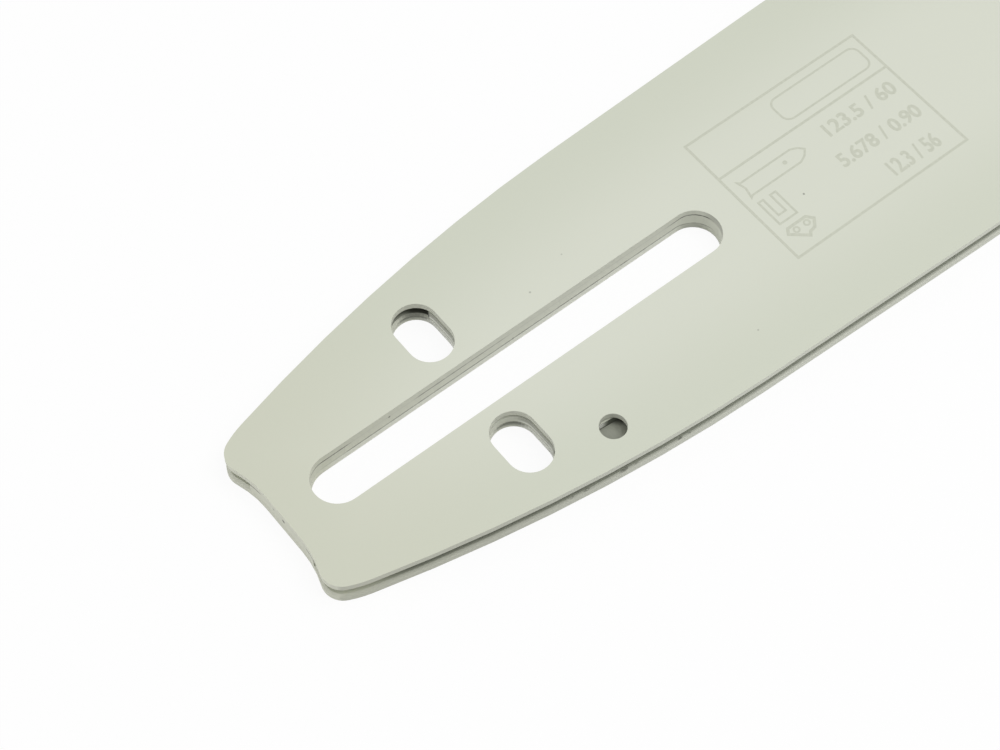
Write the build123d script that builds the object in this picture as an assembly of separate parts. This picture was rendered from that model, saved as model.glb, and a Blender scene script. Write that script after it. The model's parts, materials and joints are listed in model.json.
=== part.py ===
from build123d import *
import os
from math import asin, atan2, cos, degrees, hypot, pi, sin, sqrt

# Laminated chainsaw guide bar with a sprocket nose, lying flat. Sizes are millimetres.
# The origin is the stud slot's centre on the bottom face, +X runs to the nose, +Z is up.

# Plies
plate_thickness = 1.5
core_thickness = 1.5
edge_rollover = 0.35

# Rails: a flare from the tail, a long belly arc and a front arc to the round nose
bar_length = 460.0
belly_width = 58.8
belly_from_tail = 279.0
belly_radius = 5400.0
flare_radius = 291.0
groove_depth = 7.6

# Tail: two rounded ears, each led in from its rail, and a shallow recess that the core closes
ear_spacing = 22.7
ear_radius = 3.3
ear_setback = 0.27
lead_in_radius = 18.5
recess_depth = 1.25
recess_blend_radius = 16.6
core_tail_width = 15.2
core_tab_length = 3.6

# Stud slot, chain adjuster holes and oil holes
slot_length = 75.0
slot_width = 8.2
slot_from_tail = 6.9
adjuster_from_tail = 35.0
adjuster_spacing = 23.2
adjuster_width = 7.2
adjuster_length = 10.8
oil_hole_from_tail = 46.8
oil_hole_offset = 17.8
oil_hole_diameter = 4.2

# Nose sprocket, sized by the chain that it carries
chain_pitch = 9.525
sprocket_teeth = 9
rivet_line_above_rail = 4.6
rivet_line_above_tip = 2.1
gullet_depth = 8.6
gullet_root_radius = 3.2
gullet_mouth_radius = 5.4
tooth_corner_radius = 0.6
sprocket_side_clearance = 0.1
sprocket_rim_clearance = 0.8

# Roller bearing in the sprocket
race_diameter = 17.8
roller_diameter = 2.5
roller_gap = 0.12
running_clearance = 0.05

# Rivets through the race, ground flush with both faces
rivet_count = 4
rivet_circle_diameter = 10.4
rivet_first_angle = 45.0
rivet_diameter = 3.0
rivet_clearance = 0.02

# Places along and across the bar that follow from the sizes above
bar_thickness = 2 * plate_thickness + core_thickness
tail_x = -slot_length / 2 - slot_from_tail
recess_x = tail_x + recess_depth
belly_x = tail_x + belly_from_tail
belly_half = belly_width / 2
adjuster_x = tail_x + adjuster_from_tail
oil_hole_x = tail_x + oil_hole_from_tail

# A drive link takes two pitches, and each gullet carries one drive link
rivet_line_radius = 2 * chain_pitch * sprocket_teeth / (2 * pi)
nose_radius = rivet_line_radius - rivet_line_above_rail
sprocket_tip_radius = rivet_line_radius - rivet_line_above_tip
sprocket_root_radius = rivet_line_radius - gullet_depth
sprocket_thickness = core_thickness - 2 * sprocket_side_clearance
nose_x = tail_x + bar_length - nose_radius

roller_circle_radius = (race_diameter + roller_diameter) / 2 + running_clearance
sprocket_bore_radius = roller_circle_radius + roller_diameter / 2 + running_clearance
roller_count = int(2 * pi * roller_circle_radius / (roller_diameter + roller_gap))

# Centres of the outline's tangent arcs, for the half with +Y
nose_centre = Vector(nose_x, 0)
ear_centre = Vector(tail_x + ear_radius, ear_spacing / 2)
belly_centre = Vector(belly_x, belly_half - belly_radius)
blend_x = recess_x - recess_blend_radius
blend_reach = ear_radius + recess_blend_radius
blend_centre = Vector(blend_x, ear_centre.Y - sqrt(blend_reach**2 - (ear_centre.X - blend_x) ** 2))


def circles_meet(centre_a, radius_a, centre_b, radius_b):
    """The meeting point of two circles that lies to the right of the line from a to b."""
    line = centre_b - centre_a
    along = (line.length**2 + radius_a**2 - radius_b**2) / (2 * line.length)
    aside = sqrt(radius_a**2 - along**2)
    unit = line.normalized()
    return centre_a + unit * along + Vector(unit.Y, -unit.X) * aside


def front_arc_radius():
    """Radius of the arc that leaves the widest station level and touches the nose circle."""
    reach = nose_x - belly_x
    return (reach**2 + belly_half**2 - nose_radius**2) / (2 * (belly_half - nose_radius))


def heading(centre, target):
    return degrees(atan2(target.Y - centre.Y, target.X - centre.X))


def arc(centre, radius, start, end):
    return CenterArc(centre, radius, start, end - start)


flare_to_ear = flare_radius - ear_radius - ear_setback
flare_centre = circles_meet(belly_centre, belly_radius - flare_radius, ear_centre, flare_to_ear)
lead_in_reach = flare_radius - lead_in_radius
lead_in_centre = circles_meet(flare_centre, lead_in_reach, ear_centre, lead_in_radius - ear_radius)
front_radius = front_arc_radius()
front_centre = Vector(belly_x, belly_half - front_radius)

# Headings from the arc centres to the points where one arc hands over to the next
blend_end = heading(blend_centre, ear_centre)
core_tail_end = degrees(asin((core_tail_width / 2 - blend_centre.Y) / recess_blend_radius))
ear_end = heading(lead_in_centre, ear_centre)
lead_in_end = heading(flare_centre, lead_in_centre)
flare_end = heading(belly_centre, flare_centre)
front_end = heading(front_centre, nose_centre)


def rail_arcs(start, inset=0.0):
    """The +Y rail from a heading on the flare to the nose, moved in by the inset."""
    return [
        arc(flare_centre, flare_radius - inset, start, flare_end),
        arc(belly_centre, belly_radius - inset, flare_end, 90),
        arc(front_centre, front_radius - inset, 90, front_end),
        arc(nose_centre, nose_radius - inset, front_end, 0),
    ]


def closed_outline(half):
    """A face from the +Y half of an outline and its mirror image across the bar's axis."""
    return make_face(half + [edge.mirror(Plane.XZ) for edge in half])


def recess(end):
    """The tail's straight middle and its outward blend, as far as a heading on the blend."""
    return [Line((recess_x, 0), (recess_x, blend_centre.Y)), arc(blend_centre, recess_blend_radius, 0, end)]


def plate_outline():
    tail = recess(blend_end) + [
        arc(ear_centre, ear_radius, blend_end + 180, ear_end),
        arc(lead_in_centre, lead_in_radius, ear_end, lead_in_end),
    ]
    return closed_outline(tail + rail_arcs(lead_in_end))


def core_outline():
    """The rails moved in by the groove, with a tab that closes the tail and room for the sprocket."""
    corner = blend_centre + Vector(recess_blend_radius, 0).rotate(Axis.Z, core_tail_end)
    tab_x = recess_x + core_tab_length
    tab_y = flare_centre.Y + sqrt((flare_radius - groove_depth) ** 2 - (tab_x - flare_centre.X) ** 2)
    tab_end = Vector(tab_x, tab_y)
    tail = recess(core_tail_end) + [Line(corner, tab_end)]
    body = closed_outline(tail + rail_arcs(heading(flare_centre, tab_end), groove_depth))
    return body - Pos(nose_centre) * Circle(sprocket_tip_radius + sprocket_rim_clearance)


def stud_slot():
    return SlotOverall(slot_length, slot_width)


def adjuster_holes():
    """The two chain adjuster holes, one on each side of the stud slot."""
    hole = SlotOverall(adjuster_length, adjuster_width, rotation=90)
    return Sketch() + [Pos(adjuster_x, side * adjuster_spacing / 2) * hole for side in (1, -1)]


def rivets(clearance=0.0):
    """The rivets, as long as the bar is thick, or the holes that they fill."""
    circle = PolarLocations(rivet_circle_diameter / 2, rivet_count, rivet_first_angle)
    shank = extrude(Circle(rivet_diameter / 2 + clearance), bar_thickness)
    return [Pos(nose_centre) * place * shank for place in circle]


def side_plate():
    """The upper stamping, rolled over towards the core except at the tail, with the slot cut square."""
    oil_hole = Pos(oil_hole_x, -oil_hole_offset) * Circle(oil_hole_diameter / 2)
    blank = extrude(plate_outline() - adjuster_holes() - oil_hole, plate_thickness)
    plate = chamfer(blank.edges().group_by(Axis.Z)[0], edge_rollover)
    tail_land = Box(2 * ear_radius, core_tail_width, plate_thickness)
    plate += blank & Pos(recess_x, 0, plate_thickness / 2) * tail_land
    plate -= extrude(stud_slot(), plate_thickness)
    return Pos(0, 0, plate_thickness + core_thickness) * plate


def turned_over(plate):
    """A plate turned about the bar's long axis, so that its outer face is the bottom."""
    return Pos(0, 0, bar_thickness) * Rot(180, 0, 0) * plate


def core_plate():
    outline = core_outline() - stud_slot() - adjuster_holes()
    return Pos(0, 0, plate_thickness) * extrude(outline, core_thickness)


def nose_sprocket():
    gullet = make_hull(
        (Pos(sprocket_root_radius + gullet_root_radius) * Circle(gullet_root_radius)).edges()
        + (Pos(rivet_line_radius) * Circle(gullet_mouth_radius)).edges()
    )
    half_pitch = 180 / sprocket_teeth
    star = Circle(sprocket_tip_radius) - Circle(sprocket_bore_radius)
    for place in PolarLocations(0, sprocket_teeth, half_pitch):
        star -= place * gullet
    tips = star.vertices().filter_by(lambda v: hypot(v.X, v.Y) > sprocket_tip_radius - tooth_corner_radius)
    star = fillet(tips, tooth_corner_radius)
    return Pos(nose_x, 0, plate_thickness + sprocket_side_clearance) * extrude(star, sprocket_thickness)


def bearing_race():
    return Pos(nose_x, 0, plate_thickness) * extrude(Circle(race_diameter / 2), core_thickness)


def bearing_roller(index):
    turn = 2 * pi * index / roller_count
    x = nose_x + roller_circle_radius * cos(turn)
    y = roller_circle_radius * sin(turn)
    roller = extrude(Circle(roller_diameter / 2), sprocket_thickness)
    return Pos(x, y, plate_thickness + sprocket_side_clearance) * roller


stamping = side_plate()
rivet_holes = rivets(rivet_clearance)
nodes = {
    "top_side_plate": stamping - rivet_holes,
    "bottom_side_plate": turned_over(stamping) - rivet_holes,
    "core_plate": core_plate(),
    "nose_sprocket": nose_sprocket(),
    "bearing_race": bearing_race() - rivet_holes,
    "nose_rivets": Compound(children=rivets()),
}
for index in range(roller_count):
    nodes[f"bearing_roller_{index + 1:02d}"] = bearing_roller(index)

os.makedirs("parts", exist_ok=True)
for name, shape in nodes.items():
    export_step(shape, f"parts/{name}.step")
size = f"{bar_length:.1f} x {belly_width:.1f} x {bar_thickness:.1f} mm"
print(f"{len(nodes)} nodes, bar {size}, {roller_count} rollers")
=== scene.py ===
# %% [markdown]
# # A painted chainsaw guide bar
# The bar is three thin steel plies: two side plates with a narrower core between them, so that a groove
# for the chain runs all round the rim. A star sprocket turns in the nose on a ring of rollers. The solids
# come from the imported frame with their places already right. This lesson gives every surface its finish,
# prints the size label, lights the bar on a white table and sets the camera.

# %% Load the frame
import json
from math import cos, radians, sin

import bmesh
import bpy
from mathutils import Matrix, Vector


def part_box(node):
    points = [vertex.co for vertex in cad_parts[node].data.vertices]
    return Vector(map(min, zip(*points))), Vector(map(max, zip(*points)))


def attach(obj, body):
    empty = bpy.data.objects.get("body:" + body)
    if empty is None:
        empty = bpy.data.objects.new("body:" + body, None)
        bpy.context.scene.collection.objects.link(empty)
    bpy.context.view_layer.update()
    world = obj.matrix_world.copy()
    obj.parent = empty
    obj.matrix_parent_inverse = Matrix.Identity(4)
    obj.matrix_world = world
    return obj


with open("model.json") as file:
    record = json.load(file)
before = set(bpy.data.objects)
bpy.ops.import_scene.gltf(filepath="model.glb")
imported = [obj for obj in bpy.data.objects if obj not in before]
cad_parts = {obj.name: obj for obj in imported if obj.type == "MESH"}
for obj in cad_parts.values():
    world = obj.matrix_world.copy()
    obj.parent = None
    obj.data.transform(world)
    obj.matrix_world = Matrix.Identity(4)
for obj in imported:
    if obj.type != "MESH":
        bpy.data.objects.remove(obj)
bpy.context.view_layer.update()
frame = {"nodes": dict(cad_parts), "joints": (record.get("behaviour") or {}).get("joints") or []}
print("nodes in the frame:", len(frame["nodes"]))

# %% [markdown]
# Blender measures in metres, and a maker measures a bar in millimetres. Every size below is written in
# millimetres and turned to metres once, where it meets Blender. Heights that the solids already hold are
# read from the frame, so that the seams between the plies stay where the plies meet.

# %% Millimetres and places read from the frame
MM = 0.001


def node_box_mm(name):
    """Lowest and highest corner of one solid, in millimetres."""
    low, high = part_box(name)
    return low / MM, high / MM


core_low, core_high = node_box_mm("core_plate")
plate_low, plate_high = node_box_mm("top_side_plate")
core_middle = (core_low.z + core_high.z) / 2
core_half = (core_high.z - core_low.z) / 2
top_face = plate_high.z
tail_end, nose_end = plate_low.x, plate_high.x
half_width = plate_high.y
sprocket_axis = Vector(frame["joints"][0]["pos_m"]) / MM
print("bar", round(nose_end - tail_end, 1), "mm long")
print("plies meet at heights", round(core_low.z, 2), "and", round(core_high.z, 2))

# %% [markdown]
# A finish is a small sum: base tone, plus mottling, minus dirt in the seams. Wiring that by hand takes
# dozens of Math nodes, and the wires hide the sum. One small class wraps a socket and overloads the
# operators, so a finish reads as arithmetic and each sign adds its own node.

# %% Arithmetic on sockets


class Term:
    """One value in a material's node tree. Arithmetic on terms adds Math nodes to that tree."""

    def __init__(self, tree, socket=None):
        self.tree = tree
        self.socket = socket

    def node(self, kind, settings, sockets, output=0):
        """Adds a node, sets it up, feeds its sockets with values or terms, and gives one output."""
        made = self.tree.nodes.new(kind)
        for name, value in settings.items():
            if name == "stops":
                fill_ramp(made.color_ramp.elements, value)
            else:
                setattr(made, name, value)
        for name, value in sockets.items():
            if isinstance(value, Term):
                self.tree.links.new(value.socket, made.inputs[name])
            else:
                made.inputs[name].default_value = value
        return Term(self.tree, made.outputs[output])

    def math(self, operation, *values):
        return self.node("ShaderNodeMath", {"operation": operation}, dict(enumerate(values)))

    def __add__(self, other):
        return self.math("ADD", self, other)

    def __sub__(self, other):
        return self.math("SUBTRACT", self, other)

    def __rsub__(self, other):
        return self.math("SUBTRACT", other, self)

    def __mul__(self, other):
        return self.math("MULTIPLY", self, other)

    def __truediv__(self, other):
        return self.math("DIVIDE", self, other)

    def __abs__(self):
        return self.math("ABSOLUTE", self)

    __radd__ = __add__
    __rmul__ = __mul__


def fill_ramp(elements, stops):
    """Gives a ramp its stops, each a position from 0 to 1 and a grey value."""
    while len(elements) < len(stops):
        elements.new(1.0)
    for element, (position, grey) in zip(elements, stops):
        element.position = position
        element.color = (grey, grey, grey, 1.0)


print("terms take + - * / and abs")

# %% [markdown]
# A few helpers turn up in every finish. A material starts with the place on the part as its first term,
# and a place splits into its three measures. Noise gives mottling at a stated size, and a soft step turns
# a measure into a mask. In all that follows a band is the pair of measures between which such a mask rises
# from 0 to 1.

# %% Helpers that read a place
noise_middle = 0.5


def new_material(name):
    """An empty material and the place on the part, in millimetres, as its first term."""
    material = bpy.data.materials.new(name)
    material.use_nodes = True
    start = Term(material.node_tree)
    metres = start.node("ShaderNodeTexCoord", {}, {}, "Object")
    place = start.node("ShaderNodeVectorMath", {"operation": "SCALE"}, {0: metres, "Scale": 1 / MM})
    return material, place


def split(place):
    """The three measures of a place or a direction."""
    parts = place.node("ShaderNodeSeparateXYZ", {}, {0: place})
    return [Term(place.tree, socket) for socket in parts.socket.node.outputs]


def noise(place, size, detail=2.0):
    """Mottling from 0 to 1 whose patches are about as wide as the size, in millimetres."""
    return place.node("ShaderNodeTexNoise", {}, {"Vector": place, "Scale": 1 / size, "Detail": detail})


def soft_step(value, low, high):
    """0 below low, 1 above high and a smooth rise between."""
    sockets = {"Value": value, "From Min": low, "From Max": high}
    return value.node("ShaderNodeMapRange", {"interpolation_type": "SMOOTHSTEP"}, sockets)


print("helpers that read a place: ready")

# %% [markdown]
# The other helpers lead to the shader. A tint mixes two colours by a mask, a bump makes a height into a
# tilt of the surface, and feed puts each result into its socket. Colours are written as a paint chart
# gives them.

# %% Helpers that lead to the shader


def tint(mask, colour_a, colour_b):
    """colour_a where the mask is 0 and colour_b where it is 1."""
    return mask.node("ShaderNodeMix", {"data_type": "RGBA"}, {0: mask, 6: colour_a, 7: colour_b}, 2)


def bump(height, depth):
    """A surface tilt from a height of 0 to 1 that stands for a depth in millimetres."""
    return height.node("ShaderNodeBump", {}, {"Height": height, "Strength": 1.0, "Distance": depth * MM})


def feed(material, **sockets):
    """Sets or links the sockets of the material's shader, named with underscores for spaces."""
    shader = material.node_tree.nodes["Principled BSDF"]
    for name, value in sockets.items():
        socket = shader.inputs[name.replace("_", " ")]
        if isinstance(value, Term):
            material.node_tree.links.new(value.socket, socket)
        else:
            socket.default_value = value
    return material


def srgb(red, green, blue):
    """A colour as a paint chart gives it, from 0 to 255, in the linear values that shaders use."""
    share = [value / 255 for value in (red, green, blue)]
    linear = [s / 12.92 if s <= 0.04045 else ((s + 0.055) / 1.055) ** 2.4 for s in share]
    return (*linear, 1.0)


print("helpers that lead to the shader: ready")

# %% [markdown]
# The coat is a pale grey with a breath of green. It is a touch darker near the rim. A distance to the rim
# needs no texture: the outline is made of large circles, and a circle's radius less the distance to its
# centre is the distance to its edge. The arc of the tail's flare hands over to the long belly arc, then a
# front arc leads to the circle of the nose. The front arc leaves the widest place level and touches the
# nose circle, which gives its radius.

# %% Distance to the rim
belly_radius, belly_from_tail = 5400.0, 279.0
flare_radius, flare_centre = 291.0, (36.353, -265.448)
flare_hands_over = 25.1
belly_x = tail_end + belly_from_tail
nose_radius = nose_end - sprocket_axis.x
nose_reach = sprocket_axis.x - belly_x
front_radius = (nose_reach**2 + half_width**2 - nose_radius**2) / (2 * (half_width - nose_radius))
front_hands_over = sprocket_axis.x + nose_radius * nose_reach / (front_radius - nose_radius)
outline_arcs = [
    (tail_end, flare_centre, flare_radius),
    (flare_hands_over, (belly_x, half_width - belly_radius), belly_radius),
    (belly_x, (belly_x, half_width - front_radius), front_radius),
    (front_hands_over, (sprocket_axis.x, 0.0), nose_radius),
]


def circle_depth(x, y, centre, radius):
    """How far inside a circle a place lies."""
    from_centre = x.node("ShaderNodeCombineXYZ", {}, {0: x - centre[0], 1: y - centre[1], 2: 0.0})
    length = x.node("ShaderNodeVectorMath", {"operation": "LENGTH"}, {0: from_centre}, "Value")
    return radius - length


def rail_distance(x, y):
    """Millimetres from the nearer rail, measured on the arc of the outline that runs past a place."""
    distance = None
    for start_x, centre, radius in outline_arcs:
        depth = circle_depth(x, abs(y), centre, radius)
        past_start = x.math("GREATER_THAN", x, start_x)
        distance = depth if distance is None else distance + (depth - distance) * past_start
    return distance


def rim_distance(x, y):
    """Millimetres from the outline, the tail included."""
    return x.math("MINIMUM", rail_distance(x, y), x - tail_end)


print("arcs of the outline start at", [round(start_x, 1) for start_x, centre, radius in outline_arcs])

# %% [markdown]
# The sheared walls show where the plies meet. Paint bridges the seam in some stretches and leaves it open
# in others, so the dark hairline comes and goes along the stud slot. A ramp along the slot says where each
# seam is open. The lines lie just outside the core's own faces, and at the slot's nose end they move
# further apart.

# %% The hairlines in the stud slot
slot_end = 37.5
slot_across = (5.0, 6.0)
slot_past = (slot_end + 1, slot_end + 2)
nose_end_band = (slot_end - 4.5, slot_end - 2.5)
nose_end_shift = 0.22
seam_outside = 0.13
seam_band = (0.048, 0.16)
ragged_size, ragged_band, ragged_least = 0.9, (0.3, 0.6), 0.6
open_above_core = [
    (-36.8, 0.1), (-34.6, 1.0), (-29.5, 1.0), (-28.0, 0.1), (-17.0, 0.1),
    (-15.5, 0.8), (-2.0, 0.7), (1.0, 0.12), (31.0, 0.15), (33.5, 1.0),
]
open_below_core = [
    (-36.5, 0.1), (-30.0, 0.25), (-28.0, 0.75), (-12.0, 0.8), (20.0, 0.9), (36.0, 0.6),
]


def slot_zone(x, y):
    """1 in the stud slot and on the tail's middle, and 0 on the rest of the bar."""
    across = 1 - soft_step(abs(y), *slot_across)
    return across * (1 - soft_step(x, *slot_past))


def seam_line(place, side, open_stretches):
    """1 on the open hairline above (1) or below (-1) the core, and 0 elsewhere."""
    x, y, z = split(place)
    stops = [((at + slot_end) / (2 * slot_end), grey) for at, grey in open_stretches]
    along = (x + slot_end) / (2 * slot_end)
    is_open = place.node("ShaderNodeValToRGB", {"stops": stops}, {0: along})
    shift = soft_step(x, *nose_end_band) * (nose_end_shift * side)
    height = core_middle + side * (core_half + seam_outside) + shift
    line = 1 - soft_step(abs(z - height), *seam_band)
    ragged = soft_step(noise(place, ragged_size), *ragged_band) * (1 - ragged_least) + ragged_least
    return line * is_open * ragged


print("stops along the slot:", len(open_above_core), "above the core,", len(open_below_core), "below")

# %% [markdown]
# On a real bar the plies don't quite line up at the slot's nose end. The paint shows it: both lines fade
# on the near side there, and the far side of the lower ply and the near side of the upper one get a
# painted shade. In the other holes the upper seam is a dark notch, except by the oil holes, where the
# core's edge is painted lit above its foot, as light through the hole falls on it, and only its foot stays
# dark.

# %% The shades of the nose end and the notch in the holes
nose_end_shade = 0.3
line_fade_band = (-0.5, 1.5)
far_side_band = (0.6, 2.6)
lower_ply_shade = (1.05, 1.25)
upper_ply_shade = (2.8, 3.4)
notch_height, notch_band, notch_darkness = core_high.z + 0.07, (0.0, 0.28), 0.75
rail_clear = (2.0, 3.0)
oil_edge_middle, oil_edge_across = 16.5, (2.5, 3.5)
oil_edge_start, oil_edge_stop = (-1.0, 0.0), (1.8, 3.3)
oil_edge_foot = (core_low.z + 0.1, core_low.z + 0.45)
oil_edge_top = (core_high.z - 0.1, core_high.z)


def light_on_core_by_oil_hole(x, y, z):
    """Painted light: 1 on the core's edge by each oil hole above its foot, and 0 elsewhere."""
    along = soft_step(x, *oil_edge_start) * (1 - soft_step(x, *oil_edge_stop))
    across = 1 - soft_step(abs(abs(y) - oil_edge_middle), *oil_edge_across)
    upward = soft_step(z, *oil_edge_foot) * (1 - soft_step(z, *oil_edge_top))
    return along * across * upward


def slot_seams(place):
    """Both hairlines of the slot, faded on the near side of its nose end, and that end's shades."""
    x, y, z = split(place)
    upper = seam_line(place, 1, open_above_core)
    lower = seam_line(place, -1, open_below_core)
    at_nose_end = soft_step(x, *nose_end_band)
    lines = upper.math("MAXIMUM", upper, lower)
    lines = lines * (1 - at_nose_end * (1 - soft_step(y, *line_fade_band)))
    far_side = soft_step(y, *far_side_band)
    shade = (1 - soft_step(z, *lower_ply_shade)) * far_side
    shade = shade + soft_step(z, *upper_ply_shade) * (1 - far_side)
    return lines.math("MAXIMUM", lines, shade * at_nose_end * nose_end_shade)


def seams(place):
    """The slot's own seams in the slot, and the notch of the upper seam in the other holes."""
    x, y, z = split(place)
    notch = (1 - soft_step(abs(z - notch_height), *notch_band)) * notch_darkness
    notch = notch * soft_step(rail_distance(x, y), *rail_clear) * (1 - light_on_core_by_oil_hole(x, y, z))
    return notch + (slot_seams(place) - notch) * slot_zone(x, y)


print("notch in the holes at height", round(notch_height, 2))

# %% [markdown]
# Handling leaves a few dark specks on the face and nicks on the tail and the slot's edges, and grime
# settles in the groove. Each mark is a place, a radius and a darkness. A mask of all of them is the
# darkest one's fall-off. The marks in the groove are lengthened along the bar.

# %% Specks and grime
groove_mark_height = 1.43
groove_mark_length = 3.0
mark_core_share = 0.4
face_specks = [
    (7.3, 7.3, top_face, 0.24, 0.35),
    (15.2, 9.6, top_face, 0.2, 0.25),
    (50.9, -4.8, top_face, 0.24, 0.6),
    (29.4, -18.6, top_face, 0.2, 0.35),
]
edge_marks = [
    (-43.14, -0.1, 3.0, 0.42, 0.95),
    (-43.16, 2.3, 3.0, 0.26, 0.5),
    (-36.75, 2.4, 4.0, 0.34, 0.6),
    (-21.3, 4.1, 3.0, 0.26, 0.8),
    (1.5, 4.1, 1.4, 0.2, 0.7),
    (12.7, 4.1, 1.4, 0.24, 0.7),
]
groove_marks = [
    (-8.4, -21.8, groove_mark_height, 0.2, 0.35),
    (-6.0, -22.15, groove_mark_height, 0.26, 0.5),
    (0.24, -23.02, groove_mark_height, 0.33, 0.65),
    (2.3, -23.28, groove_mark_height, 0.2, 0.35),
    (9.85, -24.07, groove_mark_height, 0.22, 0.7),
    (11.6, -24.22, groove_mark_height, 0.15, 0.5),
]


def spots(place, marks, lengthened=1.0):
    """The darkness of each mark at its middle, falling to 0 at its radius, lengthened along the bar."""
    found = None
    shrink = (1 / lengthened, 1.0, 1.0)
    place = place.node("ShaderNodeVectorMath", {"operation": "MULTIPLY"}, {0: place, 1: shrink})
    for x, y, z, radius, darkness in marks:
        middle = (x / lengthened, y, z)
        gap = place.node("ShaderNodeVectorMath", {"operation": "DISTANCE"}, {0: place, 1: middle}, "Value")
        spot = (1 - soft_step(gap, radius * mark_core_share, radius)) * darkness
        found = spot if found is None else found.math("MAXIMUM", found, spot)
    return found


print("marks placed:", len(face_specks) + len(edge_marks) + len(groove_marks))

# %% [markdown]
# Walls and faces take paint in different ways, so a finish has to know which way a surface faces. The
# Geometry node's True Normal says so, and a flat face is one that points almost straight up or down.
# Some masks are stronger near the tail.

# %% Which way a surface faces, and how near the tail
flat_band = (0.75, 0.95)
toward_tail_band = (-25.0, 35.0)


def facing(place):
    """The direction in which the surface itself faces, without its bump."""
    return split(place.node("ShaderNodeNewGeometry", {}, {}, "True Normal"))


def side_mask(place):
    """1 on upright walls and rolled edges, and 0 on the flat faces."""
    return 1 - soft_step(abs(facing(place)[2]), *flat_band)


def toward_tail(place):
    """1 by the tail, falling to 0 further along the bar."""
    return 1 - soft_step(split(place)[0], *toward_tail_band)


print("oil fades from", toward_tail_band[0], "to", toward_tail_band[1], "mm along the bar")

# %% [markdown]
# Light falls through the holes, and it is painted in. Below each oil hole a painted pool of light lies on
# the plate behind, strongest under the hole. At the outer ends of the adjuster holes painted light reaches
# a little way into the groove, and less of it on the side with the positive y.

# %% Light that falls through the holes, painted
patch_middle = (3.4, 17.0)
patch_along, patch_across = (2.0, 4.0), (2.0, 3.0)
patch_stronger, patch_least = (-1.9, 1.6), 0.4
patch_corner = (0.6, 2.6)
hole_end, hole_radius = (-9.4, 13.4), 3.6
hole_light_reach = (0.2, 1.3)
far_hole_band, far_hole_loss = (-1.0, 1.0), 0.3
far_hole_nose_side = (-8.8, -7.2)


def light_pool_by_oil_hole(x, y):
    """How much painted light lies in the groove round an oil hole, less towards the core and the nose."""
    from_x = x - patch_middle[0]
    from_y = patch_middle[1] - abs(y)
    near = (1 - soft_step(abs(from_x), *patch_along)) * (1 - soft_step(abs(from_y), *patch_across))
    stronger = soft_step(from_x, *patch_stronger) * (1 - patch_least) + patch_least
    return near * stronger * (1 - soft_step(from_x + from_y, *patch_corner))


def lit_through_hole(x, y):
    """Painted light: 1 at an adjuster hole's outer end, less in the far hole, falling to 0 in the groove.
    """
    gap = 0 - circle_depth(x, abs(y), hole_end, hole_radius)
    far_hole = soft_step(y, *far_hole_band)
    lost = far_hole_loss + soft_step(x, *far_hole_nose_side) * (1 - far_hole_loss)
    return (1 - soft_step(gap, *hole_light_reach)) * (1 - far_hole * lost)


print("spray reaches", hole_light_reach[1], "mm past the ends of the adjuster holes")

# %% [markdown]
# Elsewhere the groove is painted darker with the distance in from the rail, over the rolled-over edge
# and on to the plate's inner face, and darker still further in. The lower ply's edge in the adjuster
# holes gets a painted shade on the side that faces away from the light. The tail's ears are left as light
# inside as outside.

# %% Where the groove is darker
rolled_edge = 0.35
groove_depth = 7.6
core_edge_band = (0.1, 0.3)
clear_at_tail = (-39.5, -33.0)
lower_ply_band = (core_low.z - 1.5, core_low.z - 0.2)
lee_along, lee_across, lee_rolled = 0.5, 0.87, 0.19
lee_band = (0.65, 0.95)
shade_by_tail = [(0.0, 0.0), (0.24, 0.22), (0.36, 0.44), (0.55, 0.6), (0.8, 0.75), (1.0, 1.0)]
shade_further = [
    (0.0, 0.0), (0.12, 0.05), (0.22, 0.46), (0.36, 0.66), (0.55, 0.36), (0.8, 0.45), (1.0, 0.7),
]


def facing_away_from_light(place):
    """Painted shade: 1 on the lower ply's walls and rolled edges that face away from the light."""
    x, y, z = split(place)
    lower_ply = soft_step(z, *lower_ply_band) * (1 - soft_step(z, core_low.z, core_middle))
    turned_x, turned_y, turned_z = facing(place)
    away = abs(turned_z) * lee_rolled - turned_x * lee_along - turned_y * lee_across
    return soft_step(away, *lee_band) * lower_ply


def plates_darker_inward(place):
    """0 on the outside of a side plate, rising to 1 over its rolled edge and on to its inner face."""
    x, y, z = split(place)
    rail = rail_distance(x, y)
    at_rail = 1 - soft_step(rail, *rail_clear)
    round_the_roll = 1 - soft_step(abs(z - core_middle), core_half, core_half + rolled_edge)
    by_tail = place.node("ShaderNodeValToRGB", {"stops": shade_by_tail}, {0: rail})
    further = place.node("ShaderNodeValToRGB", {"stops": shade_further}, {0: rail})
    rail_shade = further + (by_tail - further) * toward_tail(place)
    rail_shade = rail.math("MINIMUM", rail_shade, round_the_roll)
    # Painted light through the adjuster holes lifts the inner face near their outer ends.
    inner_face = (1 - side_mask(place)) * round_the_roll * (1 - lit_through_hole(x, y))
    # Painted shade on the lower ply's walls in the holes that face away from the light.
    hole_shade = facing_away_from_light(place) + inner_face
    shade = rail_shade * at_rail + hole_shade * (1 - at_rail)
    shade = shade * (1 - light_pool_by_oil_hole(x, y)) * (1 - slot_zone(x, y))
    return shade * soft_step(x, *clear_at_tail)


def core_edge_darker(place):
    """1 on the core's own edge at the bottom of the groove, away from the tail that it closes."""
    x, y, z = split(place)
    at_edge = 1 - soft_step(abs(rail_distance(x, y) - groove_depth), *core_edge_band)
    # The core's edge stays light where light through the holes is painted on it.
    edge_darkening = (1 - light_on_core_by_oil_hole(x, y, z)) * (1 - lit_through_hole(x, y))
    return side_mask(place) * at_edge * edge_darkening * soft_step(x, *clear_at_tail)


print("spray fades over", shade_by_tail[-1][0], "mm of the groove")
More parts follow.
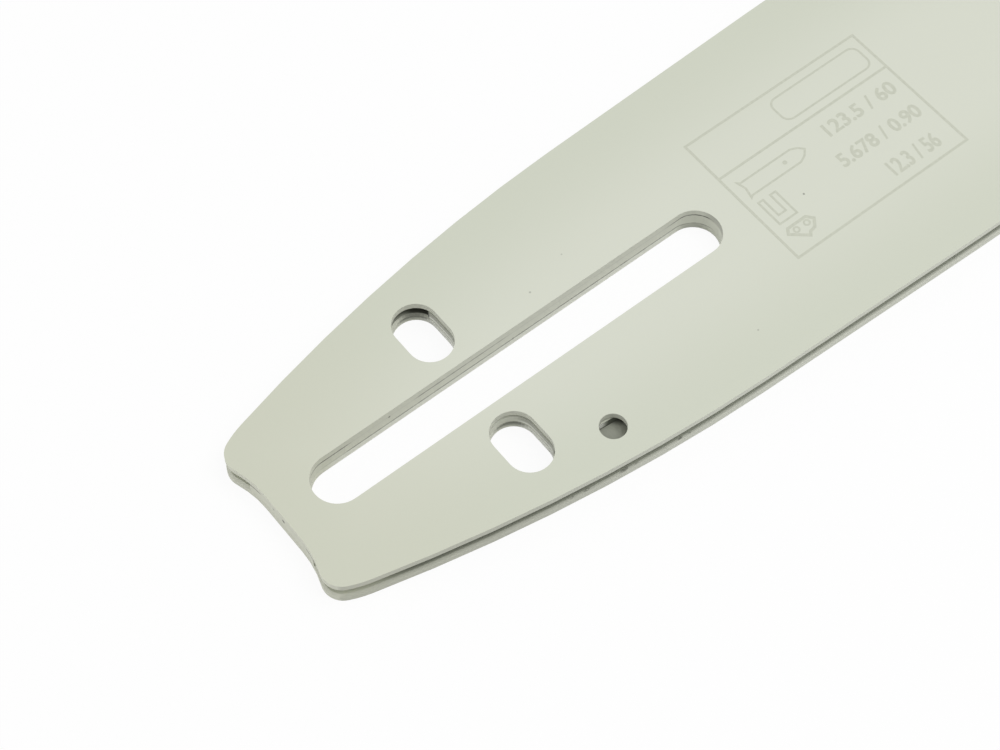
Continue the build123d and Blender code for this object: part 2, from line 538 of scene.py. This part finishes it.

# %% [markdown]
# The shear left fine upright streaks on the walls. Painted light lifts the stud slot's lower ply and the
# low part of the hole walls that face the tail, and a painted shade darkens the lower edge of the upper
# rail along the groove.

# %% Masks for the walls
streak_squeeze, streak_size = (1, 1, 0.12), 0.5
rail_wall_band = (0.5, 0.9)
hole_along = (5.0, 6.0)
tail_facing_band = (0.6, 0.95)
bounce_along = (30.0, 35.0)
bounce_below = (core_low.z - 0.5, core_low.z - 0.1)
lip_below = (core_high.z + 0.1, core_high.z + 0.5)
lip_above = (core_high.z - 0.1, core_high.z)
lip_along = (-38.0, -30.0)


def shear_streaks(place):
    """Fine upright streaks, long in height and narrow along the edge."""
    sockets = {0: place, 1: streak_squeeze}
    squeezed = place.node("ShaderNodeVectorMath", {"operation": "MULTIPLY"}, sockets)
    return noise(squeezed, streak_size)


def rail_side(place, side):
    """1 on the rails' walls and rolled edges, and 0 on the rest of the bar."""
    x, y, z = split(place)
    return side * (1 - soft_step(rail_distance(x, y), *rail_wall_band))


def facing_tail(place, side):
    """1 on the walls of the adjuster holes that face the tail."""
    x, y, z = split(place)
    in_hole = soft_step(abs(y), *slot_across) * (1 - soft_step(abs(x - hole_end[0]), *hole_along))
    return side * in_hole * soft_step(0 - facing(place)[0], *tail_facing_band)


def bounce_on_lower_ply(place, side):
    """1 on the lower ply along the stud slot, where light bounced from the table is painted."""
    x, y, z = split(place)
    along_slot = slot_zone(x, y) * (1 - soft_step(abs(x), *bounce_along))
    return side * along_slot * (1 - soft_step(z, *bounce_below))


def groove_lip(place, on_rail):
    """1 on the lower lip of the upper rail, where the groove's shade is painted."""
    x, y, z = split(place)
    lip = (1 - soft_step(z, *lip_below)) * soft_step(z, *lip_above)
    return on_rail * lip * soft_step(x, *lip_along)


print("masks for the walls: ready")

# %% [markdown]
# The colours come next, and the three layers that use them. The first layer is the fresh coat, a little
# darker at the rim, a little warmer by the tail, and faintly mottled. The second is painted light on some
# walls, with the painted shade that the upper ply throws on the hole walls. The third is the dirt, with a
# painted shade along the groove's lip.

# %% Layers of the coat
coat_middle = srgb(214, 217, 203)
coat_rim = srgb(206, 210, 194)
coat_wall = srgb(211, 213, 200)
coat_tail = srgb(204, 205, 186)
# A pale tone that paints light on walls that the softboxes leave darker.
lit_tone = srgb(242, 243, 236)
# The dark of open seams and specks, also the tone of painted shade.
seam_and_shade_dark = srgb(62, 64, 54)
# The grime of the shear streaks, also the tone of the rails' painted shade near the tail.
grime_and_shade = srgb(92, 94, 82)
rim_band = (1.0, 20.0)
tail_tone_band, tail_tone_share = (-44.0, 5.0), 0.5
cloud_share, grain_share, mottle_share = 0.12, 0.08, 0.04
streak_from, streak_share = 0.4, 0.08
lit_below, shade_below = (1.6, 2.3), (core_high.z, core_high.z + 0.2)
hole_shade_share = 0.4
bounce_share = 0.35
lip_darkness = 0.45
dirt_size, dirt_band = 0.24, (0.3, 0.5)


def fresh_coat(place, side, clouds, grain, streaks):
    """The colour of the coat before anything happened to it."""
    x, y, z = split(place)
    tone = tint(soft_step(rim_distance(x, y), *rim_band), coat_rim, coat_middle)
    tone = tint(side, tone, coat_wall)
    tone = tint((1 - soft_step(x, *tail_tone_band)) * tail_tone_share, tone, coat_tail)
    mottle = (clouds - noise_middle) * cloud_share + (grain - noise_middle) * grain_share + mottle_share
    tone = tint(mottle, tone, coat_rim)
    return tint(side * (streaks - streak_from) * streak_share, tone, grime_and_shade)


def light_and_shade(tone, place, side):
    """Painted light on some walls of the holes and the slot, and painted shade under the upper ply."""
    x, y, z = split(place)
    to_tail = facing_tail(place, side)
    high = soft_step(z, *lit_below)
    # Painted light low on the hole walls that face the tail, and painted shade under the upper ply.
    tone = tint(to_tail * (1 - high), tone, lit_tone)
    tone = tint(to_tail * high * (1 - soft_step(z, *shade_below)) * hole_shade_share, tone, seam_and_shade_dark)
    # Painted light from the table on the slot's lower ply, and on the core's edge by the oil holes.
    tone = tint(bounce_on_lower_ply(place, side) * bounce_share, tone, lit_tone)
    return tint(light_on_core_by_oil_hole(x, y, z) * side, tone, lit_tone)


def dirt_and_shade(tone, place, side, on_rail):
    """Darkens the seams, the specks and the grime in the groove, and paints shade on the groove's lip."""
    tone = tint(side * seams(place), tone, seam_and_shade_dark)
    tone = tint(spots(place, face_specks + edge_marks), tone, seam_and_shade_dark)
    # Painted shade along the lower lip of the upper rail.
    tone = tint(groove_lip(place, on_rail) * lip_darkness, tone, seam_and_shade_dark)
    dirt = spots(place, groove_marks, groove_mark_length)
    return tint(dirt * soft_step(noise(place, dirt_size), *dirt_band), tone, seam_and_shade_dark)


print("layers of the coat: fresh, thick, dirty")

# %% [markdown]
# Now the coat itself. The side plates, the core and the rivet heads were painted together, so one function
# makes the finish for all three. They differ only in where the groove darkens them. A painted shade makes
# the rail walls darker near the tail, where the flare turns away from the light. The bump is the faint
# peel of sprayed paint, and the streaks take its place on the walls.

# %% The pale coat
inward_tone = srgb(140, 144, 130)
deepest_tone = srgb(88, 91, 80)
deepest_band = (1.0, 4.0)
# The share of painted shade on the rail walls near the tail.
tail_rail_shade = 0.2
cloud_size, grain_size, peel_size = 14.0, 0.28, 1.1
peel_share, peel_grain, peel_streaks = 0.5, 0.2, 0.25
peel_depth = 0.006
coat_roughness, cloud_roughness, wall_roughness = 0.46, 0.08, 0.12
coat_ior = 1.48


def coat(name, groove_darkening=None):
    """The paint on one kind of ply, darkened in the groove by the mask that the given function makes."""
    material, place = new_material(name)
    x, y, z = split(place)
    side = side_mask(place)
    on_rail = rail_side(place, side)
    clouds = noise(place, cloud_size)
    grain = noise(place, grain_size)
    streaks = shear_streaks(place)
    tone = fresh_coat(place, side, clouds, grain, streaks)
    tone = light_and_shade(tone, place, side)
    # Painted shade: the rail walls darker near the tail, where the flare turns from the light.
    tone = tint(on_rail * toward_tail(place) * tail_rail_shade, tone, grime_and_shade)
    if groove_darkening:
        deep = soft_step(rail_distance(x, y), *deepest_band)
        tone = tint(groove_darkening(place), tone, tint(deep, inward_tone, deepest_tone))
    tone = dirt_and_shade(tone, place, side, on_rail)
    peel = noise(place, peel_size) * peel_share + grain * peel_grain * (1 - side)
    peel = peel + side * streaks * peel_streaks
    rough = coat_roughness + (clouds - noise_middle) * cloud_roughness + side * wall_roughness
    return feed(material, Base_Color=tone, Roughness=rough, Normal=bump(peel, peel_depth), IOR=coat_ior)


bar_paint = coat("pale_bar_paint", plates_darker_inward)
core_paint = coat("pale_core_paint", core_edge_darker)
rivet_paint = coat("pale_rivet_paint")
print("coats:", [paint.name for paint in (bar_paint, core_paint, rivet_paint)])

# %% [markdown]
# The sprocket is blanked from spring steel and hardened, which leaves a brown-grey skin, worn bright on
# the tips of the teeth. Steel is a metal, so its colour is the colour of its reflection, and the wear is
# mostly a change of roughness.

# %% Hardened sprocket steel
star_skin = srgb(104, 99, 92)
star_bright = srgb(188, 187, 184)
star_worn_band, star_worn_share = (21.0, 25.2), 0.75
scratch_size, scratch_depth = 0.22, 0.004
wear_size = 1.6
wear_patches, wear_scratches, wear_everywhere = 0.35, 0.25, 0.5
star_roughness, star_polish, scratch_roughness = 0.46, 0.16, 0.14


def star_steel():
    """Dark steel that is worn brighter and smoother towards the tips of the teeth."""
    material, place = new_material("hardened_star_steel")
    x, y, z = split(place)
    spoke = x.node("ShaderNodeCombineXYZ", {}, {0: x - sprocket_axis.x, 1: y, 2: 0.0})
    reach = x.node("ShaderNodeVectorMath", {"operation": "LENGTH"}, {0: spoke}, "Value")
    scratches = noise(place, scratch_size)
    patchy = noise(place, wear_size) * wear_patches + scratches * wear_scratches + wear_everywhere
    worn = soft_step(reach, *star_worn_band) * patchy
    tone = tint(worn * star_worn_share, star_skin, star_bright)
    rough = star_roughness - worn * star_polish + (scratches - noise_middle) * scratch_roughness
    tilt = bump(scratches, scratch_depth)
    return feed(material, Base_Color=tone, Metallic=1.0, Roughness=rough, Normal=tilt)


sprocket_steel = star_steel()
print("steel of the sprocket:", sprocket_steel.name)

# %% [markdown]
# The race and the rollers are ground bearing steel. A film of grease lies on them in patches, browner and
# rougher than the bright metal.

# %% Greased bearing steel
bearing_bright = srgb(176, 177, 178)
grease = srgb(92, 86, 70)
film_size, film_band, film_share = 1.4, (0.45, 0.7), 0.6
bearing_roughness, film_roughness = 0.22, 0.25
grinding_size, grinding_depth = 0.3, 0.002


def roller_steel():
    """Bright ground steel with patches of grease."""
    material, place = new_material("greased_bearing_steel")
    film = soft_step(noise(place, film_size), *film_band)
    tone = tint(film * film_share, bearing_bright, grease)
    rough = bearing_roughness + film * film_roughness
    tilt = bump(noise(place, grinding_size), grinding_depth)
    return feed(material, Base_Color=tone, Metallic=1.0, Roughness=rough, Normal=tilt)


bearing_steel = roller_steel()
print("steel of the bearing:", bearing_steel.name)

# %% [markdown]
# Each solid of the frame keeps its mesh and only changes its material. The names say which finish a solid
# takes, so one loop dresses all of them. The rollers aren't listed: they take the bearing steel.

# %% Dress the solids
finishes = {
    "top_side_plate": bar_paint,
    "bottom_side_plate": bar_paint,
    "core_plate": core_paint,
    "nose_rivets": rivet_paint,
    "nose_sprocket": sprocket_steel,
    "bearing_race": bearing_steel,
}
for name, solid in frame["nodes"].items():
    solid.data.materials.clear()
    solid.data.materials.append(finishes.get(name, bearing_steel))
print("dressed", len(frame["nodes"]), "solids")

# %% [markdown]
# The size label is printed in a tone just darker than the paint: a frame with a head strip, three small
# signs for the bar, its groove and the chain's drive link, and three rows of figures. The head strip holds
# an empty rounded field. The ink is a little paler where it is worn.

# %% Ink
ink_full = srgb(193, 196, 180)
ink_pale = srgb(201, 204, 188)
ink_wear_size, ink_wear_band = 0.5, (0.25, 0.75)
ink_roughness, ink_wear_roughness = 0.5, 0.06
ink_depth = 0.004


def label_ink():
    """Dull ink that is worn in small patches."""
    material, place = new_material("label_ink")
    worn = soft_step(noise(place, ink_wear_size), *ink_wear_band)
    tone = tint(worn, ink_full, ink_pale)
    rough = ink_roughness + worn * ink_wear_roughness
    return feed(material, Base_Color=tone, Roughness=rough, Normal=bump(worn, ink_depth))


ink = label_ink()
print("ink:", ink.name)

# %% [markdown]
# The print is made as thin raised pieces, so that it is in the meshes as well as in the picture. A flat
# drawing in millimetres is extruded by the height of the ink, lifted to the top face and scaled to metres.
# Each piece rides on the bar's body.

# %% From a flat drawing to a thin print
ink_height = 0.02


def raise_print(mesh, name):
    """Turns a flat drawing in millimetres into a thin print on the top face."""
    top = bmesh.ops.extrude_face_region(mesh, geom=mesh.faces[:])["geom"]
    lifted = [part for part in top if isinstance(part, bmesh.types.BMVert)]
    bmesh.ops.translate(mesh, verts=lifted, vec=(0, 0, ink_height))
    bmesh.ops.translate(mesh, verts=mesh.verts[:], vec=(0, 0, top_face))
    bmesh.ops.scale(mesh, verts=mesh.verts[:], vec=(MM, MM, MM))
    bmesh.ops.recalc_face_normals(mesh, faces=mesh.faces[:])
    data = bpy.data.meshes.new(name)
    mesh.to_mesh(data)
    mesh.free()
    data.materials.append(ink)
    piece = bpy.data.objects.new(name, data)
    bpy.context.scene.collection.objects.link(piece)
    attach(piece, "bar")
    print(name, "has", len(data.polygons), "faces")


print("ink stands", ink_height, "mm high")

# %% [markdown]
# A line of one width is a face with a few corners, inset by that width, with its middle taken out. The
# bevel rounds the corners first where a line asks for it.

# %% Lines of one width
rounding_steps = 5


def add_line(mesh, corners, width, rounding=0.0):
    """Adds a closed line of one width that runs inside a few corners."""
    loop = bmesh.new()
    loop.faces.new([loop.verts.new((x, y, 0)) for x, y in corners])
    loop.normal_update()
    if rounding:
        bmesh.ops.bevel(loop, geom=loop.verts[:], offset=rounding, offset_type="OFFSET", affect="VERTICES",
                        segments=rounding_steps, profile=0.5, material=-1)
    middle = loop.faces[:]
    bmesh.ops.inset_region(loop, faces=middle, thickness=width, use_boundary=True, use_even_offset=True)
    bmesh.ops.delete(loop, geom=middle, context="FACES")
    part = bpy.data.meshes.new("line")
    loop.to_mesh(part)
    loop.free()
    mesh.from_mesh(part)
    bpy.data.meshes.remove(part)


def box_corners(left, right, low, high):
    return [(left, low), (right, low), (right, high), (left, high)]


print("rounded corners take", rounding_steps, "steps")

# %% [markdown]
# The frame is one such line with a bar across it for the head strip. The bar is a grid of one face,
# stretched by a matrix. The empty field is a line with rounded corners.

# %% The frame of the label and its empty field
label_left, label_right, label_low, label_high = 42.3, 77.6, -13.1, 13.25
strip_low = 5.0
field_left, field_right, field_low, field_high = 57.8, 76.2, 6.6, 11.6
field_rounding = 1.6
frame_line = 0.42
sign_line = 0.34


def label_frame():
    mesh = bmesh.new()
    add_line(mesh, box_corners(label_left, label_right, label_low, label_high), frame_line)
    half_strip = (label_right - label_left) / 2 - frame_line
    middle = Matrix.Translation(((label_left + label_right) / 2, strip_low + frame_line / 2, 0))
    stretch = Matrix.Diagonal((half_strip, frame_line / 2, 1, 1))
    bmesh.ops.create_grid(mesh, x_segments=1, y_segments=1, size=1.0, matrix=middle @ stretch)
    raise_print(mesh, "label_frame")


def empty_field():
    mesh = bmesh.new()
    corners = box_corners(field_left, field_right, field_low, field_high)
    add_line(mesh, corners, sign_line, rounding=field_rounding)
    raise_print(mesh, "label_empty_field")


label_frame()
empty_field()

# %% [markdown]
# The three signs are common ones for bars of any make: a bar seen from its side with the sprocket's axle
# as a dot, the groove cut across, and a drive link with its two rivet holes. Their corners are places on
# the label, in millimetres along and across the bar.

# %% The three signs
axle_place, axle_radius, axle_steps = (52.55, 1.33), 0.38, 20
link_line = 0.5
link_holes = [(45.7, -8.95), (47.75, -8.95)]
link_hole_radius, link_hole_line, link_hole_turn = 0.62, 0.3, 30


def bar_sign():
    mesh = bmesh.new()
    tail = [(44.7, 2.85), (44.0, 3.4), (44.5, 1.4), (44.0, -0.75), (44.7, -0.3)]
    nose = [(54.6, -0.3), (55.9, 0.3), (56.9, 1.35), (56.0, 2.3), (54.8, 2.85)]
    add_line(mesh, tail + nose, sign_line)
    place = Matrix.Translation((*axle_place, 0))
    bmesh.ops.create_circle(mesh, cap_ends=True, segments=axle_steps, radius=axle_radius, matrix=place)
    raise_print(mesh, "label_bar_sign")


def groove_sign():
    mesh = bmesh.new()
    outer_left, outer_right, inner_left, inner_right = 44.2, 48.0, 45.5, 46.6
    low, floor, high = -6.85, -5.15, -1.6
    walls = [(outer_left, high), (outer_left, low), (outer_right, low), (outer_right, high)]
    groove = [(inner_right, high), (inner_right, floor), (inner_left, floor), (inner_left, high)]
    add_line(mesh, walls + groove, sign_line)
    raise_print(mesh, "label_groove_sign")


def link_sign():
    mesh = bmesh.new()
    back = [(44.6, -7.75), (43.8, -8.9), (46.7, -11.35), (47.3, -10.7)]
    front = [(48.3, -10.5), (49.5, -9.0), (48.4, -7.75)]
    add_line(mesh, back + front, link_line)
    turns = [radians(turn) for turn in range(0, 360, link_hole_turn)]
    for x, y in link_holes:
        rim = [(x + link_hole_radius * cos(turn), y + link_hole_radius * sin(turn)) for turn in turns]
        add_line(mesh, rim, link_hole_line)
    raise_print(mesh, "label_link_sign")


bar_sign()
groove_sign()
link_sign()

# %% [markdown]
# The rows are plain figures. A text object gives their outlines, and it becomes a mesh before it is put in
# its place. Each row is stretched to the box that it fills on the label, given here as its reach along the
# bar and across it.

# %% Rows of plain figures
rows = {
    "label_figures_1": ("123.5 / 60", (61.4, 75.6), (0.55, 3.05)),
    "label_figures_2": ("5.678 / 0.90", (59.2, 75.6), (-5.1, -2.6)),
    "label_figures_3": ("12.3 / 56", (64.3, 74.0), (-11.1, -8.3)),
}
stroke_growth = 0.1
curve_steps = 3
merge_distance = 1e-5


def embolden(mesh, growth):
    """Moves the outline of flat figures out by the growth, for strokes as heavy as a stamp's."""
    grown = bmesh.ops.inset_region(mesh, faces=mesh.faces[:], thickness=-growth, use_boundary=True)
    bmesh.ops.delete(mesh, geom=grown["faces"], context="FACES")


def figures(name, words, across, up):
    text = bpy.data.curves.new(name + "_outline", "FONT")
    text.body = words
    text.resolution_u = curve_steps
    writer = bpy.data.objects.new(name + "_outline", text)
    flat = bpy.data.meshes.new_from_object(writer)
    mesh = bmesh.new()
    mesh.from_mesh(flat)
    bmesh.ops.remove_doubles(mesh, verts=mesh.verts[:], dist=merge_distance)
    xs = [vert.co.x for vert in mesh.verts]
    ys = [vert.co.y for vert in mesh.verts]
    wider = (across[1] - across[0]) / (max(xs) - min(xs))
    taller = (up[1] - up[0]) / (max(ys) - min(ys))
    bmesh.ops.translate(mesh, verts=mesh.verts[:], vec=(-min(xs), -min(ys), 0))
    bmesh.ops.scale(mesh, verts=mesh.verts[:], vec=(wider, taller, 1))
    bmesh.ops.translate(mesh, verts=mesh.verts[:], vec=(across[0], up[0], 0))
    embolden(mesh, stroke_growth)
    bpy.data.objects.remove(writer)
    bpy.data.curves.remove(text)
    bpy.data.meshes.remove(flat)
    raise_print(mesh, name)


for name, (words, across, up) in rows.items():
    figures(name, words, across, up)

# %% [markdown]
# The bar lies on a white table in soft light from all round. The table and the world are plain white for
# rays that come from the camera, a mirror or a glass, and the table keeps a share of its own diffuse
# shade, so that the bar still throws its soft shadow.

# %% White table
table_size = 12000.0
table_below = 0.05
table_grey = (0.93, 0.93, 0.93, 1)
table_white_share = 0.92
white = (1, 1, 1, 1)


def seen_directly(start):
    """1 for rays from the camera, a mirror or a glass, which all see the background itself."""
    path = start.node("ShaderNodeLightPath", {}, {}).socket.node.outputs
    camera = Term(start.tree, path["Is Camera Ray"])
    glossy = Term(start.tree, path["Is Glossy Ray"])
    through = Term(start.tree, path["Is Transmission Ray"])
    return camera.math("MAXIMUM", camera, camera.math("MAXIMUM", glossy, through))


def table_material():
    material = bpy.data.materials.new("table_white")
    material.use_nodes = True
    tree = material.node_tree
    start = Term(tree)
    shaded = start.node("ShaderNodeBsdfDiffuse", {}, {"Color": table_grey})
    plain = start.node("ShaderNodeEmission", {}, {"Color": white, "Strength": 1.0})
    factor = seen_directly(start) * table_white_share
    mixed = start.node("ShaderNodeMixShader", {}, {0: factor, 1: shaded, 2: plain})
    tree.links.new(mixed.socket, tree.nodes["Material Output"].inputs["Surface"])
    return material


def table():
    mesh = bmesh.new()
    bmesh.ops.create_grid(mesh, x_segments=1, y_segments=1, size=table_size * MM / 2)
    bmesh.ops.translate(mesh, verts=mesh.verts[:], vec=(0, 0, -table_below * MM))
    data = bpy.data.meshes.new("white_table")
    mesh.to_mesh(data)
    mesh.free()
    data.materials.append(table_material())
    piece = bpy.data.objects.new("white_table", data)
    bpy.context.scene.collection.objects.link(piece)


table()
print("table is white by", table_white_share)

# %% [markdown]
# The world is just as white to the camera. As a light it is weaker, so that the softboxes still shape the
# bar.

# %% White world
world_light = 0.45


def white_world():
    world = bpy.data.worlds.new("white_world")
    world.use_nodes = True
    bpy.context.scene.world = world
    background = world.node_tree.nodes["Background"]
    background.inputs["Color"].default_value = white
    strength = seen_directly(Term(world.node_tree)) * (1 - world_light) + world_light
    world.node_tree.links.new(strength.socket, background.inputs["Strength"])


white_world()
print("world light", world_light)

# %% [markdown]
# A wide softbox hangs high over the bar, off to the right of the camera, so that the left walls of the
# holes catch the light. A smaller one on the left opens the tail wall. Their power is set so that the
# paint renders about as it is written.

# %% Softboxes
softboxes = {
    "key_softbox": ((330.0, -260.0, 950.0), 800.0, 6.1),
    "tail_fill": ((-700.0, 350.0, 350.0), 500.0, 1.5),
}


def softbox(name, place, size, watts):
    """A square lamp at a place in millimetres that faces the origin."""
    lamp = bpy.data.lights.new(name, "AREA")
    lamp.shape = "SQUARE"
    lamp.size = size * MM
    lamp.energy = watts
    holder = bpy.data.objects.new(name, lamp)
    holder.location = Vector(place) * MM
    holder.rotation_mode = "QUATERNION"
    holder.rotation_quaternion = Vector(place).to_track_quat("Z", "Y")
    bpy.context.scene.collection.objects.link(holder)
    print(name, watts, "W at", place)


for name, (place, size, watts) in softboxes.items():
    softbox(name, place, size, watts)

# %% [markdown]
# The camera looks down on the tail at the photograph's angle, close to the bar with a long lens, so that
# the bar runs out of the frame at the upper right. Its clipping distances are in metres.

# %% Camera
camera_azimuth, camera_elevation = -38.4815, 59.6452
camera_distance = 349.479
camera_target = Vector((-3.3585, 1.0226, 0.0))
camera_lens = 85.499
camera_sensor = 36.0
clip_near, clip_far = 0.01, 20.0


def look_at_tail():
    across, up = radians(camera_azimuth), radians(camera_elevation)
    back = Vector((sin(across) * cos(up), -cos(across) * cos(up), sin(up)))
    data = bpy.data.cameras.new("bar_camera")
    data.lens = camera_lens
    data.sensor_width = camera_sensor
    data.clip_start = clip_near
    data.clip_end = clip_far
    camera = bpy.data.objects.new("bar_camera", data)
    camera.location = (camera_target + back * camera_distance) * MM
    camera.rotation_mode = "QUATERNION"
    camera.rotation_quaternion = back.to_track_quat("Z", "Y")
    bpy.context.scene.collection.objects.link(camera)
    bpy.context.scene.camera = camera


look_at_tail()
bpy.context.scene.view_settings.view_transform = "Standard"
print("camera", camera_distance, "mm from its target")
